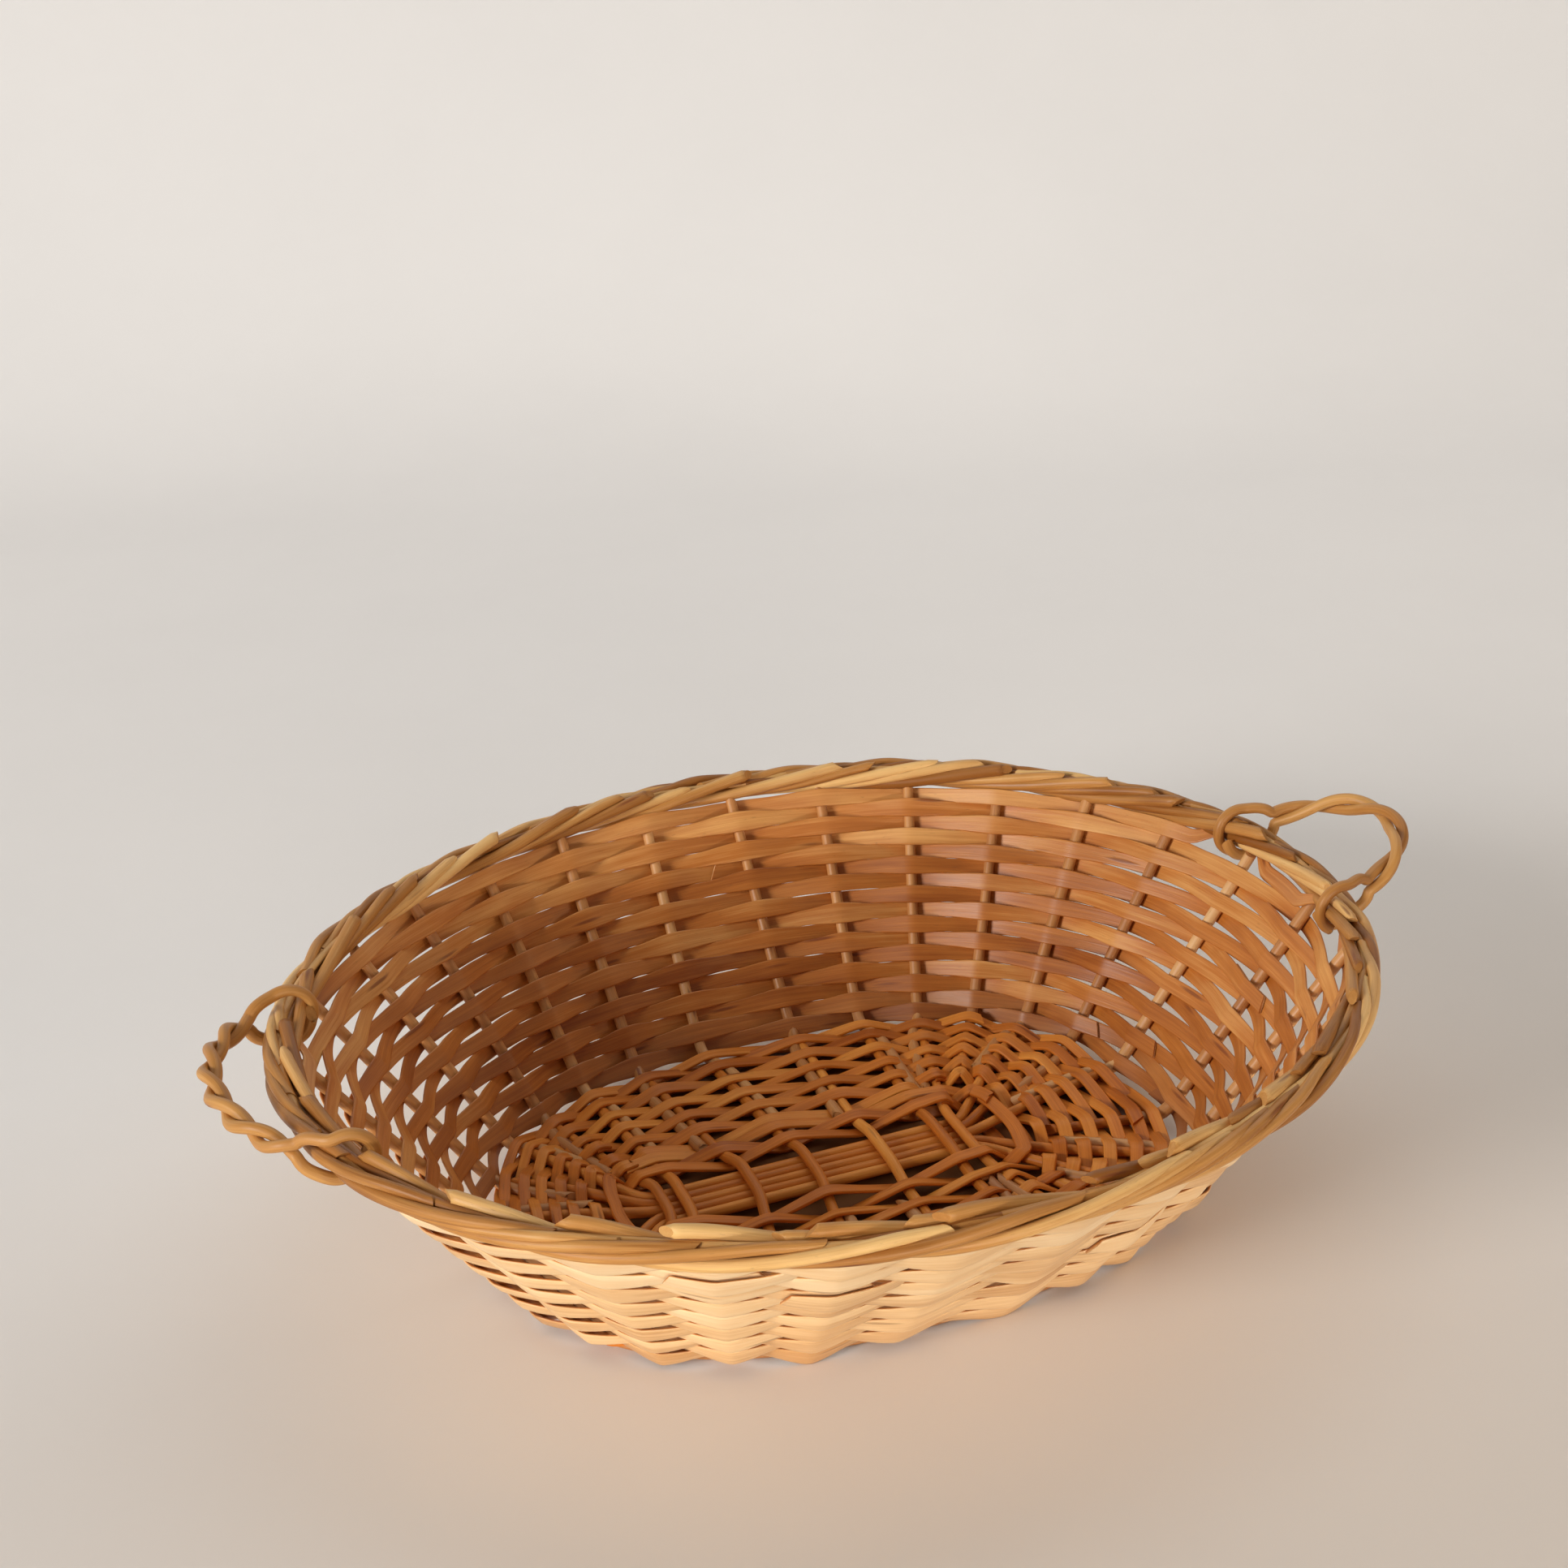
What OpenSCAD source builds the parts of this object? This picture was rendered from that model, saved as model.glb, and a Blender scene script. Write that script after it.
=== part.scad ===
// Oval willow basket with two twisted loop handles.
// Millimetres, +Z up. The origin is the middle of the base, on the surface that the basket stands on.
// The long axis of the oval is X. Stakes are numbered clockwise from the left end, seen from above.

/* [Basket] */
// Length of the rim over its border, without the handles
rim_length = 400; // [380:5:440]
// Width of the rim over its border
rim_width = 347; // [330:1:380]
// Height of the border's top
basket_height = 97; // [92:1:110]
// Length of the base over its weave
base_length = 266; // [255:1:280]
// Width of the base over its weave
base_width = 206; // [195:1:220]
// How square the oval of the base is, where 2 is a true ellipse
base_squareness = 2.46; // [2:0.02:2.8]

/* [Willow] */
// Diameter of the stakes and the base sticks
rod_d = 4.2; // [3.6:0.1:4.2]
// Thickness of the split willow ribbons
ribbon_t = 1.2; // [0.8:0.1:1.2]
// Share of each row's pitch that its ribbon fills
ribbon_fill = 0.9; // [0.7:0.01:0.92]
// Diameter of a border rod at its thick end
border_rod_d = 3.8; // [3:0.1:3.8]
// Diameter of a border rod at its cut tip
border_tip_d = 3.2; // [2.4:0.1:3.8]
// Diameter of one strand of a handle
strand_d = 4; // [3:0.1:4]

/* [Weave] */
// Number of ribbon rows up the side
side_rows = 14; // [10:1:14]
// Height of the lowest side row
first_row_z = 11; // [11:0.5:14]
// Height of the highest side row
last_row_z = 77.3; // [70:0.1:77.3]
// Number of woven rows in the base
base_rows = 13; // [10:1:13]
// Rows, counted from the middle, that pass the bundle of long sticks as one
closed_rows = 5; // [5:1:6]

/* [Handles] */
// Distance from the border's middle to the middle of the left loop's tip
left_reach = 32; // [28:1:40]
// Angle of the left loop above the horizontal
left_tilt = 7; // [0:1:20]
// Sideways lean of the left loop at its tip, towards the back
left_lean = 6; // [-8:1:8]
// Turns that the left loop's two strands make round each other
left_turns = 3; // [2:1:5]
// Distance from the border's middle to the middle of the right loop's tip
right_reach = 43; // [36:1:48]
// Angle of the right loop above the horizontal
right_tilt = 20; // [0:1:30]
// Sideways lean of the right loop at its tip, towards the back
right_lean = -1; // [-8:1:8]
// Turns that the right loop's two strands make round each other
right_turns = 2; // [2:1:5]

/* [Hidden] */
rod_r = rod_d / 2;
strand_r = strand_d / 2;
rod_sides = 8;
thin_sides = 6;

// Border: rods wound round a ring that runs through the middle of the bundle
border_turn_r = 4.5;
border_r = border_turn_r + border_rod_d / 2;
ring_a = rim_length / 2 - border_r;
ring_b = rim_width / 2 - border_r;
ring_z = basket_height - border_r;
border_span = 5;
border_steps = 12;
border_tip_angle = 60;
border_tip_gap = 0.12;

// Base: sticks and stakes lie in one plane, and the ribbons pass over and under them
rib_z = 4.4;
base_wave = 3.3;
// The innermost rows turn more steeply, round the bends of the sticks, so they stand off further
inner_rows = 2;
inner_wave = 3.75;
side_wave = rod_r + 0.1 + ribbon_t / 2;
foot_a = base_length / 2 - side_wave - ribbon_t / 2;
foot_b = base_width / 2 - side_wave - ribbon_t / 2;
stake_count = 28;
half_count = stake_count / 2;
stake_step = 11.5;
stake_spread = (90 - stake_step * half_count / 2) / pow(half_count / 2, 3);

// Where the ribs of the base start: the cross sticks at the bundle's sides, the rest at its ends
cross_x = [-68, -60, -34, -10, 18, 42, 50];
long_pitch = 4.4;
bundle_y = 11;
cross_top_z = 8.8;
cross_slope_end = 0.16;
fan_left_x = -76;
fan_right_x = 58;
fan_bend = 4;
base_row_first = 0.1;
base_row_last = 0.885;
corner_stick_start = 0.38;
stick_end = 0.86;
stake_leg_start = 0.885;
stake_bend_start = 0.96;
stake_bend_rise = 4;
stake_top_gap = 0.5;

// Feet of the ribs at the two ends, and the place in the bundle of long sticks, 0 to 4 from the back,
// that each comes from. A place between two sticks is that of a corner stick.
left_feet = [25, 26, 27, 0, 1, 2];
left_places = [4, 3, 2.5, 2, 1, 0];
right_feet = [10, 11, 12, 13, 14, 15, 16, 17];
right_places = [-0.4, 0, 1, 2, 2.5, 3, 4, 4.4];
corner_feet = [10, 14, 17, 27];
first_cross_foot = 3;
// The closed rows pass the ribs of one group as if they were one rib
closed_groups = [0, 0, 0, 1, 1, 2, 3, 4, 5, 5, 6, 6, 6, 6, 6, 6, 6, 6, 7, 7, 8, 9, 10, 11, 11, 0, 0, 0];

// The band under the stakes' feet, on which the basket stands
band_t = 1.6;
band_outer_inset = 0.5;
band_inner_inset = 3.9;
band_points = 96;

// Handles: each end of a strand goes round the border as an open eye
left_eyes_y = [45, -52];
right_eyes_y = [32, -38];
eye_r = border_r + 1 + strand_r;
eye_start_r = 13.2;
eye_start_angle = 9;
eye_blend_angle = 50;
eye_steps = 14;
over_end_angle = 270;
under_end_angle = 185;
eye_side_step = 2.4;
twist_r = strand_r + 0.15;
twist_steps = 26;

WALL_COLOUR = [0.80, 0.62, 0.42];
BASE_COLOUR = [0.70, 0.48, 0.30];
BORDER_COLOUR = [0.74, 0.54, 0.32];
HANDLE_COLOUR = [0.76, 0.50, 0.27];

SIDE_QUARTERS = ["back_left", "back_right", "front_right", "front_left"];

// ---- Small helpers ----

function two_digits(i) = str(i < 10 ? "0" : "", i);
function unit(v) = v / norm(v);
function mix(a, b, f) = a + (b - a) * f;
function smooth(f) = let (g = max(0, min(1, f))) g * g * (3 - 2 * g);
function signed_power(v, p) = sign(v) * pow(abs(v), p);

// A point of an oval: an ellipse when squareness is 2, squarer above it
function oval(t, a, b, squareness) =
    [a * signed_power(cos(t), 2 / squareness), b * signed_power(sin(t), 2 / squareness)];

// ---- Solids swept through a list of sections, each a list of the same number of corners ----

function skin(count, corners, start, closed) = [
    for (i = [0:closed ? count - 1 : count - 2])
        for (j = [0:corners - 1])
            let (
                here = start + i * corners,
                next = start + ((i + 1) % count) * corners,
                k = (j + 1) % corners
            )
            each [[here + j, here + k, next + k], [here + j, next + k, next + j]]
];

function cap(corners, start, flip) = [
    for (j = [1:corners - 2])
        flip ? [start, start + j + 1, start + j] : [start, start + j, start + j + 1]
];

// A closed ring of sections
module ring_solid(sections) {
    corners = len(sections[0]);
    polyhedron(
        points = [for (s = sections) each s],
        faces = skin(len(sections), corners, 0, true)
    );
}

// Several separate rods, each a list of round sections with the same counts
module rod_solids(rods) {
    count = len(rods[0]);
    corners = len(rods[0][0]);
    size = count * corners;
    polyhedron(
        points = [for (rod = rods) for (s = rod) each s],
        faces = [
            for (r = [0:len(rods) - 1])
                each concat(
                    skin(count, corners, r * size, false),
                    cap(corners, r * size, true),
                    cap(corners, r * size + size - corners, false)
                )
        ]
    );
}

function path_direction(path, i) =
    unit(path[min(i + 1, len(path) - 1)] - path[max(i - 1, 0)]);

function square_to(v, direction) = unit(v - direction * (v * direction));

// Round sections along a path, with a radius at each end. The frame is carried along so it doesn't spin.
function round_sections(path, r_start, r_end, sides, up = [0, 0, 1]) = [
    for (
        i = 0, normal = square_to(up, path_direction(path, 0));
        i < len(path);
        i = i + 1, normal = square_to(normal, path_direction(path, min(i, len(path) - 1)))
    )
        let (
            side = cross(path_direction(path, i), normal),
            r = mix(r_start, r_end, i / (len(path) - 1))
        )
        [for (j = [0:sides - 1]) path[i] + r * (normal * cos(360 * j / sides) + side * sin(360 * j / sides))]
];

// ---- Stakes: where each one stands. The number may lie between two stakes. ----

function half_oval_angle(k) = 90 - (stake_step * k + stake_spread * pow(k, 3));
function stake_angle(i) =
    let (
        middle = (half_count - 1) / 2,
        turned = i - stake_count * floor((i + 0.5) / stake_count)
    )
    turned < half_count - 0.5
        ? half_oval_angle(turned - middle)
        : -half_oval_angle(half_count + middle - turned);

function foot_point(i) =
    let (p = oval(stake_angle(i), foot_a, foot_b, base_squareness)) [p[0], p[1], rib_z];
function head_point(i) =
    let (p = oval(stake_angle(i), ring_a, ring_b, 2)) [p[0], p[1], ring_z];
function wall_point(i, z) = mix(foot_point(i), head_point(i), (z - rib_z) / (ring_z - rib_z));
function wall_up(i) = unit(head_point(i) - foot_point(i));
function wall_out(i, z) = unit(cross(wall_up(i), wall_point(i + 0.05, z) - wall_point(i - 0.05, z)));

// ---- Base ribs: one line a stake, from the bundle in the middle to the stake's foot ----

function place_y(place) = (2 - place) * long_pitch;
function find(list, value) = search([value], list)[0];
function is_in(list, value) = len([for (v = list) if (v == value) v]) > 0;

function rib_start(i) =
    is_in(left_feet, i) ? [fan_left_x, place_y(left_places[find(left_feet, i)]), rib_z] :
    is_in(right_feet, i) ? [fan_right_x, place_y(right_places[find(right_feet, i)]), rib_z] :
    i < half_count ? [cross_x[i - first_cross_foot], bundle_y, rib_z] :
    [cross_x[stake_count - 1 - i - first_cross_foot], -bundle_y, rib_z];
function is_cross_rib(i) = !is_in(left_feet, i) && !is_in(right_feet, i);

// A cross stick comes down from the top of the bundle to the plane of the other ribs
function rib_rise(i, share) =
    is_cross_rib(i) ? (cross_top_z - rib_z) * (1 - min(1, share / cross_slope_end)) : 0;
function rib_point(i, share) = mix(rib_start(i), foot_point(i), share) + [0, 0, rib_rise(i, share)];

// ---- Base sticks ----

function cross_stick_half(foot) = [for (share = [0, cross_slope_end, stick_end]) rib_point(foot, share)];

module base_cross_stick(n) {
    foot = first_cross_foot + n - 1;
    back = cross_stick_half(foot);
    front = cross_stick_half(stake_count - 1 - foot);
    path = concat([back[2], back[1], back[0]], front);
    color(BASE_COLOUR)
        rod_solids([round_sections(path, rod_r, rod_r, rod_sides)]);
}

// The outer part of a long stick, from its bend out of the bundle to its end
function long_stick_end(foot) =
    let (start = rib_start(foot), out = unit(foot_point(foot) - start))
    [
        start - [sign(start[0]) * fan_bend, 0, 0],
        start + out * fan_bend,
        rib_point(foot, stick_end),
    ];

module base_long_stick(n) {
    left = long_stick_end(left_feet[find(left_places, n - 1)]);
    right = long_stick_end(right_feet[find(right_places, n - 1)]);
    path = concat([left[2], left[1], left[0]], right);
    color(BASE_COLOUR)
        rod_solids([round_sections(path, rod_r, rod_r, rod_sides)]);
}

module base_corner_sticks() {
    color(BASE_COLOUR)
        rod_solids([
            for (foot = corner_feet)
                let (path = [rib_point(foot, corner_stick_start), rib_point(foot, stick_end)])
                round_sections(path, rod_r, rod_r, rod_sides)
        ]);
}

// ---- Base rows: ribbons that pass over and under the ribs ----

base_row_step = (base_row_last - base_row_first) / (base_rows - 1);

function base_row_side(row, i) =
    let (count = row <= closed_rows ? closed_groups[i] : i) (row + count) % 2 == 0 ? 1 : -1;

function base_row_section(row, i) =
    let (
        share = base_row_first + base_row_step * (row - 1),
        half_share = base_row_step * ribbon_fill / 2,
        wave = [0, 0, (row > inner_rows ? base_wave : inner_wave) * base_row_side(row, i)],
        inner = rib_point(i, share - half_share) + wave,
        outer = rib_point(i, share + half_share) + wave,
        half_t = [0, 0, ribbon_t / 2]
    )
    [inner - half_t, outer - half_t, outer + half_t, inner + half_t];

module base_row(row) {
    ribs = [for (i = [0:stake_count - 1]) if (row > closed_rows || !is_in(corner_feet, i)) i];
    color(BASE_COLOUR)
        ring_solid([for (i = ribs) base_row_section(row, i)]);
}

function band_outline(inset) = [
    for (k = [0:band_points - 1])
        oval(360 * k / band_points, foot_a - inset, foot_b - inset, base_squareness)
];

module base_edge_band() {
    color(BASE_COLOUR)
        linear_extrude(band_t)
            difference() {
                polygon(band_outline(band_outer_inset));
                polygon(band_outline(band_inner_inset));
            }
}

// ---- Side: stakes and the ribbon rows woven round them ----

stake_top_z = ring_z - (border_r + stake_top_gap) * 0.815;

function stake_path(i) = [
    rib_point(i, stake_leg_start),
    rib_point(i, stake_bend_start),
    wall_point(i, rib_z + stake_bend_rise),
    wall_point(i, stake_top_z),
];

module side_stakes(quarter) {
    quarter_count = stake_count / 4;
    color(WALL_COLOUR)
        rod_solids([
            for (i = [0:quarter_count - 1])
                round_sections(stake_path(quarter * quarter_count + i), rod_r, rod_r, rod_sides)
        ]);
}

side_row_step = (last_row_z - first_row_z) / (side_rows - 1);

// Out at every second stake, in at the others, and halfway in the gaps between them
function side_row_offset(row, i) =
    i != floor(i) ? 0 : (row + i) % 2 == 0 ? side_wave : -side_wave;

function side_row_section(row, i) =
    let (
        z = first_row_z + side_row_step * (row - 1),
        out = wall_out(i, z),
        middle = wall_point(i, z) + out * side_row_offset(row, i),
        slant = side_row_step / wall_up(i)[2],
        across = wall_up(i) * slant * ribbon_fill / 2,
        half_t = out * ribbon_t / 2
    )
    [middle - across - half_t, middle - across + half_t, middle + across + half_t, middle + across - half_t];

module side_row(row) {
    color(WALL_COLOUR)
        ring_solid([for (i = [0:0.5:stake_count - 0.5]) side_row_section(row, i)]);
}

// ---- Border: each rod winds once round the ring while it passes five gaps ----

function border_point(i, around) =
    let (
        centre = head_point(i),
        along = unit(head_point(i + 0.05) - head_point(i - 0.05)),
        out = unit(cross([0, 0, 1], along))
    )
    centre + border_turn_r * (out * cos(around) + [0, 0, 1] * sin(around));

function border_rod_path(first) = [
    for (k = [0:border_steps])
        let (share = mix(border_tip_gap / border_span, 1 - border_tip_gap / border_span, k / border_steps))
        border_point(first + border_span * share, border_tip_angle - 360 * share)
];

module border_rods(quarter) {
    quarter_count = stake_count / 4;
    color(BORDER_COLOUR)
        rod_solids([
            for (i = [0:quarter_count - 1])
                round_sections(
                    border_rod_path(quarter * quarter_count + i),
                    border_rod_d / 2,
                    border_tip_d / 2,
                    thin_sides
                )
        ]);
}

// ---- Handles ----

// A handle's own frame: its middle on the hinge line, along that line to the back, out, and square to the loop
function eye_centre(side, y) = [side * ring_a * sqrt(1 - pow(y / ring_b, 2)), y, ring_z];
function border_along(centre) = unit([-centre[1] * pow(ring_a / ring_b, 2), centre[0], 0]) * sign(centre[0]);

function handle_frame(side, eyes_y, tilt) =
    let (
        back = eye_centre(side, eyes_y[0]),
        front = eye_centre(side, eyes_y[1]),
        along = unit(back - front),
        flat_out = [along[1], -along[0], 0] * side
    )
    [
        (back + front) / 2,
        along,
        flat_out * cos(tilt) + [0, 0, 1] * sin(tilt),
        [0, 0, 1] * cos(tilt) - flat_out * sin(tilt),
        norm(back - front) / 2,
        back,
        front,
    ];

// A point of the loop's middle line; the turn runs from 0 at the back eye to 180 at the front eye
function loop_middle(frame, reach, lean, turn) =
    frame[0]
    + frame[1] * (frame[4] * cos(turn) + lean * sin(turn))
    + frame[2] * reach * sin(turn);

// The end of a strand: from the twisted part round the border, at eye 5, the back one, or 6, the front one
function eye_path(frame, reach, lean, start_turn, eye, over) =
    let (
        centre = frame[eye],
        facing = eye == 5 ? 1 : -1,
        away = over ? 1 : -1,
        end_angle = over ? over_end_angle : -under_end_angle,
        start_angle = away * eye_start_angle,
        junction = loop_middle(frame, reach, lean, eye == 5 ? start_turn : 180 - start_turn)
            + frame[3] * twist_r * away,
        at_start = centre
            + eye_start_r * (frame[2] * cos(start_angle) + frame[3] * sin(start_angle))
    )
    [
        for (k = [0:eye_steps])
            let (
                angle = mix(start_angle, end_angle, k / eye_steps),
                blend = smooth(abs(angle - start_angle) / eye_blend_angle),
                r = mix(eye_start_r, eye_r, blend),
                sideways = border_along(centre) * eye_side_step * away * facing * blend
            )
            centre
                + r * (frame[2] * cos(angle) + frame[3] * sin(angle))
                + sideways
                + (junction - at_start) * (1 - blend)
    ];

function reversed(list) = [for (k = [len(list) - 1:-1:0]) list[k]];

function strand_path(frame, reach, lean, turns, over) =
    let (
        start_turn = asin(eye_start_r / reach),
        steps = twist_steps,
        away = over ? 1 : -1,
        middle = [
            for (k = [1:steps - 1])
                let (
                    turn = mix(start_turn, 180 - start_turn, k / steps),
                    here = loop_middle(frame, reach, lean, turn),
                    ahead = unit(loop_middle(frame, reach, lean, turn + 1) - here),
                    inward = cross(ahead, frame[3]),
                    twist = 90 + 360 * turns * k / steps
                )
                here + away * twist_r * (inward * cos(twist) + frame[3] * sin(twist))
        ]
    )
    concat(
        reversed(eye_path(frame, reach, lean, start_turn, 5, over)),
        middle,
        eye_path(frame, reach, lean, start_turn, 6, over)
    );

module handle_strand(side, over) {
    frame = side < 0
        ? handle_frame(side, left_eyes_y, left_tilt)
        : handle_frame(side, right_eyes_y, right_tilt);
    reach = side < 0 ? left_reach : right_reach;
    lean = side < 0 ? left_lean : right_lean;
    turns = side < 0 ? left_turns : right_turns;
    color(HANDLE_COLOUR)
        rod_solids([
            round_sections(strand_path(frame, reach, lean, turns, over), strand_r, strand_r, thin_sides, frame[1])
        ]);
}

for (n = [1:5]) base_long_stick(n);
for (n = [1:7]) base_cross_stick(n);
base_corner_sticks();
for (n = [1:base_rows]) base_row(n);
base_edge_band();
for (q = [0:3]) side_stakes(q);
for (n = [1:side_rows]) side_row(n);
for (q = [0:3]) border_rods(q);
handle_strand(-1, true);  // left_handle_strand_over
handle_strand(-1, false);  // left_handle_strand_under
handle_strand(1, true);  // right_handle_strand_over
handle_strand(1, false);  // right_handle_strand_under
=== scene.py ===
"""Looks of the oval willow basket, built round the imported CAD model. Metres, +Z up."""

import math

import bpy
import numpy as np
from mathutils import Matrix, Vector


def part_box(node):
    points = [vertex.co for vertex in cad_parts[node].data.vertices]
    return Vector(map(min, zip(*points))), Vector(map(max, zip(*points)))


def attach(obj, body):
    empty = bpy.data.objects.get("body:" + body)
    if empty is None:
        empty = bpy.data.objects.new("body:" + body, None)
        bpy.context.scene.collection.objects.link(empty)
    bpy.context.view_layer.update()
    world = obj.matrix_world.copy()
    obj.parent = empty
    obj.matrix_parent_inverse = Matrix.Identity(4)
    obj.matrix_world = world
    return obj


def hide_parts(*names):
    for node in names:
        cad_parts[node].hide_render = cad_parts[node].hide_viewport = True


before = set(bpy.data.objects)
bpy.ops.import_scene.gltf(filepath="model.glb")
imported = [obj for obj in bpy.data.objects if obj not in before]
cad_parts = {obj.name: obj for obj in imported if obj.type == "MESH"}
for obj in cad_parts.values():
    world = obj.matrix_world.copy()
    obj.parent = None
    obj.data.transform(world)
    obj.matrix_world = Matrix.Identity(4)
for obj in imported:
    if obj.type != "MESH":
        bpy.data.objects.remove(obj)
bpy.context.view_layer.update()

MM = 0.001
rng = np.random.default_rng(41)

# ---- Dimensions: the basket's outline, from the frame ----

QUARTERS = ["back_left", "back_right", "front_right", "front_left"]


def span(*nodes):
    """Lowest and highest corner of several CAD nodes together."""
    boxes = [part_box(node) for node in nodes]
    low = np.min([np.array(b[0]) for b in boxes], axis=0)
    high = np.max([np.array(b[1]) for b in boxes], axis=0)
    return low, high


# How far the border's rods reach out from its middle line, and how far the edge band lies inside the foot
BORDER_REACH = 5.78 * MM
BAND_INSET = 0.5 * MM
rim_low, rim_high = span(*["border_rods_" + q for q in QUARTERS])
band_low, band_high = span("base_edge_band")
rib_low, rib_high = span("base_long_stick_3")

RING_A = (rim_high[0] - rim_low[0]) / 2 - BORDER_REACH
RING_B = (rim_high[1] - rim_low[1]) / 2 - BORDER_REACH
RING_Z = (rim_high[2] + rim_low[2]) / 2
FOOT_A = (band_high[0] - band_low[0]) / 2 + BAND_INSET
FOOT_B = (band_high[1] - band_low[1]) / 2 + BAND_INSET
RIB_Z = (rib_high[2] + rib_low[2]) / 2
ROD_D = rib_high[2] - rib_low[2]
BASE_SQUARENESS = 2.46

# The angle from stake to stake is STAKE_STEP at the middle of a long side, and grows towards the ends
STAKES = 28
PER_QUARTER = STAKES // 4
STAKE_STEP = 11.5
STAKE_SPREAD = (90 - STAKE_STEP * STAKES / 4) / (STAKES / 4) ** 3

# ---- Dimensions: layout of the base, as in the CAD source, except that fewer rows are closed here ----

# Shares run along a rib, from the bundle of long sticks at 0 to the stake's foot at 1
BASE_ROWS = 13
CLOSED_ROWS = 3
LONG_STICKS = 5
CROSS_STICKS = 7
LONG_PITCH = 4.4 * MM
BUNDLE_Y = 11 * MM
CROSS_RISE = 4.4 * MM
CROSS_SLOPE_END = 0.16
FAN_LEFT_X = -76 * MM
FAN_RIGHT_X = 58 * MM
CROSS_X = np.array([-68, -60, -34, -10, 18, 42, 50]) * MM
FIRST_CROSS_FOOT = 3
FAN_POWER = 0.75
FAN_SHARES = (0.6, 0.4, 0.25, 0.12)
FAN_RUN_IN = 4 * MM
CORNER_SHARES = (0.36, 0.6)

# Feet of the ribs at the two ends, and the place in the bundle, 0 to 4 from the back, that each comes from
LEFT_PLACES = {25: 4, 26: 3, 27: 2.5, 0: 2, 1: 1, 2: 0}
RIGHT_PLACES = {10: -0.4, 11: 0, 12: 1, 13: 2, 14: 2.5, 15: 3, 16: 4, 17: 4.4}
CORNER_FEET = [10, 14, 17, 27]

# The closed rows pass the ribs of one group as if they were one rib
CLOSED_GROUPS = [0, 0, 0, 1, 1, 2, 3, 4, 5, 5] + [6] * 8 + [7, 7, 8, 9, 10, 11, 11, 0, 0, 0]

ROW_FIRST = 0.1
ROW_LAST = 0.885
ROW_STEP = (ROW_LAST - ROW_FIRST) / (BASE_ROWS - 1)
OUTERMOST_ROW = 0.922
STICK_END = 0.86

# ---- Dimensions: willow. A wander is a wavelength and an amount ----

# Strands read their grain from different places, up to this far apart
GRAIN_SHIFT = 3.0

FLOOR_GAP = 0.2 * MM
STAKE_D = ROD_D * 1.12
STAKE_BESIDE = 4.5 * MM
STAKE_BELOW_RING = 5.2 * MM
STAKE_LEAVES_RIB = 0.8
STAKE_BEND_SHARE = 0.975
STAKE_BEND_RISE = 6 * MM
STAKE_AT_CORNER_SHARE = 0.88
STICK_STEP = 3 * MM
STICK_BEND = 8 * MM
STAKE_BEND_STEP = 2.5 * MM
STAKE_BEND = 7 * MM
LONG_STICK_WANDER = (120 * MM, 0.15 * MM)
CROSS_STICK_WANDER = (160 * MM, 0.3 * MM)
ROD_THICKNESS_WAVE = 70 * MM
ROD_FLATNESS_WAVE = 110 * MM

SIDE_ROWS = 14
SIDE_SAMPLES = 16
STAKE_SPACING = 36 * MM
RIBBON_CREST_W = 8.1 * MM
RIBBON_GAP_SHARE = 0.985
SPLICE_OFFSET = 1.45
RIBBON_T = 1.1 * MM
RIBBON_WAVE = 3.3 * MM
RIBBON_TILT = math.radians(8)
RIBBON_POINTEDNESS = 0.75
RIBBON_HEIGHT_WANDER = (310 * MM, 0.22 * MM)
RIBBON_TILT_WANDER = (250 * MM, math.radians(3.5))
RIBBON_CREST_WANDER = (200 * MM, 0.06)
RIBBON_GAP_WANDER = (240 * MM, 0.02)
RIBBON_T_WANDER = (300 * MM, 0.08)
END_NARROWING = 0.2
FRONT_WIDENING = 0.32
LEFT_SLIDE = 3.2 * MM
RIGHT_SLIDE = 1.8 * MM
TOP_SLIDE_SHARE = 0.35
PALER_UPWARDS = 0.75
PALER_FROM = 0.45
EXTRA_ROW_ABOVE = 0.96
EXTRA_ROW_BELOW = 0.95

# A ribbon's two ends overlap at one stake. These places are counted in stakes from it
SPLICE_BEFORE = 0.4
SPLICE_AFTER = 0.42
SPLICE_STEP_BEFORE = 0.95
SPLICE_STEP_OVER = 0.45

# Where a handle's end goes round the border, the top ribbon is squeezed up and narrowed
SQUEEZE_RISE = 4.8 * MM
SQUEEZED_W = 3.2 * MM
SQUEEZE_HALF = 8 * MM
SQUEEZE_FADE = 14 * MM

WEAVER_W = 5.3 * MM
WEAVER_CROWDING = 1.15
WEAVER_T = 1.4 * MM
WEAVER_WAVE = 3.05 * MM
WEAVER_FIRST_WAVE = 1.14
WEAVER_SAMPLES = 12
WEAVER_LEVEL = 1.4 * MM
WEAVER_MOST_LEVEL = 0.36
WEAVER_BULGE = 0.25
WEAVER_OVERLAP = 4
WEAVER_OVERLAP_RISE = 0.9
WEAVER_OVERLAP_REACH = 10 * MM
WEAVER_SIDE_WANDER = (130 * MM, 0.6 * MM)
WEAVER_LEAN_WANDER = (90 * MM, math.radians(6))
WEAVER_W_WANDER = (80 * MM, 0.07)

EDGE_INSET = 5 * MM
EDGE_Z = 0.95 * MM
EDGE_W = 3.4 * MM
EDGE_T = 1.4 * MM
EDGE_SAMPLES = 180

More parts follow.
